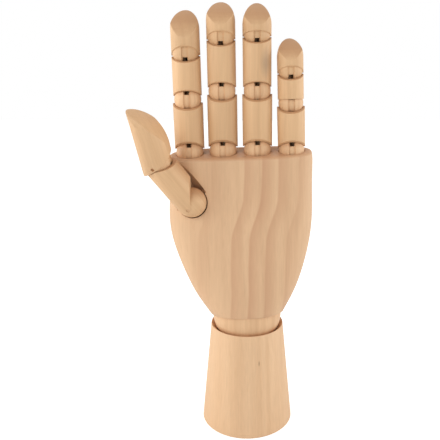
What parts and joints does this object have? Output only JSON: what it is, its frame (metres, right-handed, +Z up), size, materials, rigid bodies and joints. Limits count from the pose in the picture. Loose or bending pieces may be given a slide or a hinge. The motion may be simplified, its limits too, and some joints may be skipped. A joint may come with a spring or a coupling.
{
  "type": "wooden hand mannequin",
  "caption": "Jointed wooden artist's hand on a turned conical base, palm forward, with slotted ball joints in the wrist, fingers and thumb.",
  "frame": {"origin": "centre of the base's underside, on the surface that it stands on", "axes": "+Z up through the base, palm faces -Y, thumb on the -X side"},
  "size_m": [0.1229, 0.075, 0.3052],
  "materials": {
    "base_wood": "satin",
    "palm_wood": "satin",
    "finger_wood": "satin",
    "ball_wood": "satin",
    "pin_steel": "brushed",
    "spring_steel": "bright"
  },
  "bodies": {
    "base": {"base": "base_wood", "base_plug": "base_wood"},
    "wrist_swivel": {"wrist_spring": "spring_steel", "base_anchor_pin": "pin_steel"},
    "wrist_ball": {"wrist_ball": "ball_wood", "wrist_pin": "pin_steel"},
    "palm": {"palm": "palm_wood", "palm_wrist_pin": "pin_steel", "palm_wrist_spring": "spring_steel", "finger_anchor_rod": "pin_steel", "thumb_anchor_pin": "pin_steel", "thumb_root_spring": "spring_steel", "finger_palm_springs": "spring_steel"},
    "index_knuckle": {"index_knuckle_ball": "ball_wood", "index_knuckle_pin": "pin_steel"},
    "index_lower": {"index_lower": "finger_wood", "index_lower_spring": "spring_steel", "index_joint_ball": "ball_wood", "index_joint_pin": "pin_steel"},
    "index_middle": {"index_middle": "finger_wood", "index_middle_spring": "spring_steel"},
    "index_tip": {"index_tip": "finger_wood", "index_tip_pin": "pin_steel"},
    "middle_knuckle": {"middle_knuckle_ball": "ball_wood", "middle_knuckle_pin": "pin_steel"},
    "middle_lower": {"middle_lower": "finger_wood", "middle_lower_spring": "spring_steel", "middle_joint_ball": "ball_wood", "middle_joint_pin": "pin_steel"},
    "middle_middle": {"middle_middle": "finger_wood", "middle_middle_spring": "spring_steel"},
    "middle_tip": {"middle_tip": "finger_wood", "middle_tip_pin": "pin_steel"},
    "ring_knuckle": {"ring_knuckle_ball": "ball_wood", "ring_knuckle_pin": "pin_steel"},
    "ring_lower": {"ring_lower": "finger_wood", "ring_lower_spring": "spring_steel", "ring_joint_ball": "ball_wood", "ring_joint_pin": "pin_steel"},
    "ring_middle": {"ring_middle": "finger_wood", "ring_middle_spring": "spring_steel"},
    "ring_tip": {"ring_tip": "finger_wood", "ring_tip_pin": "pin_steel"},
    "little_knuckle": {"little_knuckle_ball": "ball_wood", "little_knuckle_pin": "pin_steel"},
    "little_lower": {"little_lower": "finger_wood", "little_lower_spring": "spring_steel", "little_joint_ball": "ball_wood", "little_joint_pin": "pin_steel"},
    "little_middle": {"little_middle": "finger_wood", "little_middle_spring": "spring_steel"},
    "little_tip": {"little_tip": "finger_wood", "little_tip_pin": "pin_steel"},
    "thumb_root": {"thumb_root_pin": "pin_steel"},
    "thumb_lower": {"thumb_lower": "finger_wood", "thumb_tip_spring": "spring_steel"},
    "thumb_tip": {"thumb_tip": "finger_wood", "thumb_tip_pin": "pin_steel"}
  },
  "joints": [
    {"name": "wrist_turn", "type": "hinge", "parent": "base", "child": "wrist_swivel", "pos_m": [0, 0, 0.0862], "axis": [0, 0, 1], "range_deg": [-90, 90]},
    {"name": "wrist_nod", "type": "hinge", "parent": "wrist_swivel", "child": "wrist_ball", "pos_m": [0, 0, 0.0862], "axis": [1, 0, 0], "range_deg": [-10, 20]},
    {"name": "wrist_tilt", "type": "hinge", "parent": "wrist_ball", "child": "palm", "pos_m": [0, 0, 0.0862], "axis": [0, 1, 0], "range_deg": [-10, 10]},
    {"name": "index_spread", "type": "hinge", "parent": "palm", "child": "index_knuckle", "pos_m": [-0.0397, 0, 0.20599], "axis": [0, 1, 0], "range_deg": [-8, 2.5]},
    {"name": "index_knuckle_bend", "type": "hinge", "parent": "index_knuckle", "child": "index_lower", "pos_m": [-0.0397, 0, 0.20599], "axis": [0.9998, 0, 0.0175], "range_deg": [-10, 45]},
    {"name": "index_middle_bend", "type": "hinge", "parent": "index_lower", "child": "index_middle", "pos_m": [-0.04033, 0, 0.24198], "axis": [0.9998, 0, 0.0175], "range_deg": [-10, 50]},
    {"name": "index_tip_bend", "type": "hinge", "parent": "index_middle", "child": "index_tip", "pos_m": [-0.04087, 0, 0.27268], "axis": [0.9998, 0, 0.0175], "range_deg": [-2, 45]},
    {"name": "middle_spread", "type": "hinge", "parent": "palm", "child": "middle_knuckle", "pos_m": [-0.01654, 0, 0.2073], "axis": [0, 1, 0], "range_deg": [-2.5, 2.5]},
    {"name": "middle_knuckle_bend", "type": "hinge", "parent": "middle_knuckle", "child": "middle_lower", "pos_m": [-0.01654, 0, 0.2073], "axis": [0.9999, 0, 0.0105], "range_deg": [-10, 45]},
    {"name": "middle_middle_bend", "type": "hinge", "parent": "middle_lower", "child": "middle_middle", "pos_m": [-0.01696, 0, 0.24749], "axis": [0.9999, 0, 0.0105], "range_deg": [-10, 50]},
    {"name": "middle_tip_bend", "type": "hinge", "parent": "middle_middle", "child": "middle_tip", "pos_m": [-0.01733, 0, 0.28289], "axis": [0.9999, 0, 0.0105], "range_deg": [-2, 45]},
    {"name": "ring_spread", "type": "hinge", "parent": "palm", "child": "ring_knuckle", "pos_m": [0.00726, 0, 0.20773], "axis": [0, 1, 0], "range_deg": [-2.5, 2.5]},
    {"name": "ring_knuckle_bend", "type": "hinge", "parent": "ring_knuckle", "child": "ring_lower", "pos_m": [0.00726, 0, 0.20773], "axis": [1, 0, 0.0087], "range_deg": [-10, 45]},
    {"name": "ring_middle_bend", "type": "hinge", "parent": "ring_lower", "child": "ring_middle", "pos_m": [0.00691, 0, 0.24783], "axis": [1, 0, 0.0087], "range_deg": [-10, 50]},
    {"name": "ring_tip_bend", "type": "hinge", "parent": "ring_middle", "child": "ring_tip", "pos_m": [0.00659, 0, 0.28482], "axis": [1, 0, 0.0087], "range_deg": [-2, 45]},
    {"name": "little_spread", "type": "hinge", "parent": "palm", "child": "little_knuckle", "pos_m": [0.031, 0, 0.20716], "axis": [0, 1, 0], "range_deg": [-2.5, 8]},
    {"name": "little_knuckle_bend", "type": "hinge", "parent": "little_knuckle", "child": "little_lower", "pos_m": [0.031, 0, 0.20716], "axis": [0.9994, 0, 0.0349], "range_deg": [-3, 45]},
    {"name": "little_middle_bend", "type": "hinge", "parent": "little_lower", "child": "little_middle", "pos_m": [0.02986, 0, 0.23964], "axis": [0.9994, 0, 0.0349], "range_deg": [-10, 45]},
    {"name": "little_tip_bend", "type": "hinge", "parent": "little_middle", "child": "little_tip", "pos_m": [0.02911, 0, 0.26112], "axis": [0.9994, 0, 0.0349], "range_deg": [-2, 45]},
    {"name": "thumb_twist", "type": "hinge", "parent": "palm", "child": "thumb_root", "pos_m": [-0.03806, -0.0138, 0.17322], "axis": [-0.5763, -0.2079, 0.7903], "range_deg": [-10, 10]},
    {"name": "thumb_swing", "type": "hinge", "parent": "thumb_root", "child": "thumb_lower", "pos_m": [-0.03806, -0.0138, 0.17322], "axis": [-0.1556, -0.9215, -0.3559], "range_deg": [-2, 8]},
    {"name": "thumb_tip_bend", "type": "hinge", "parent": "thumb_lower", "child": "thumb_tip", "pos_m": [-0.05956, -0.02156, 0.2027], "axis": [-0.1556, -0.9215, -0.3559], "range_deg": [-25, 1]}
  ]
}
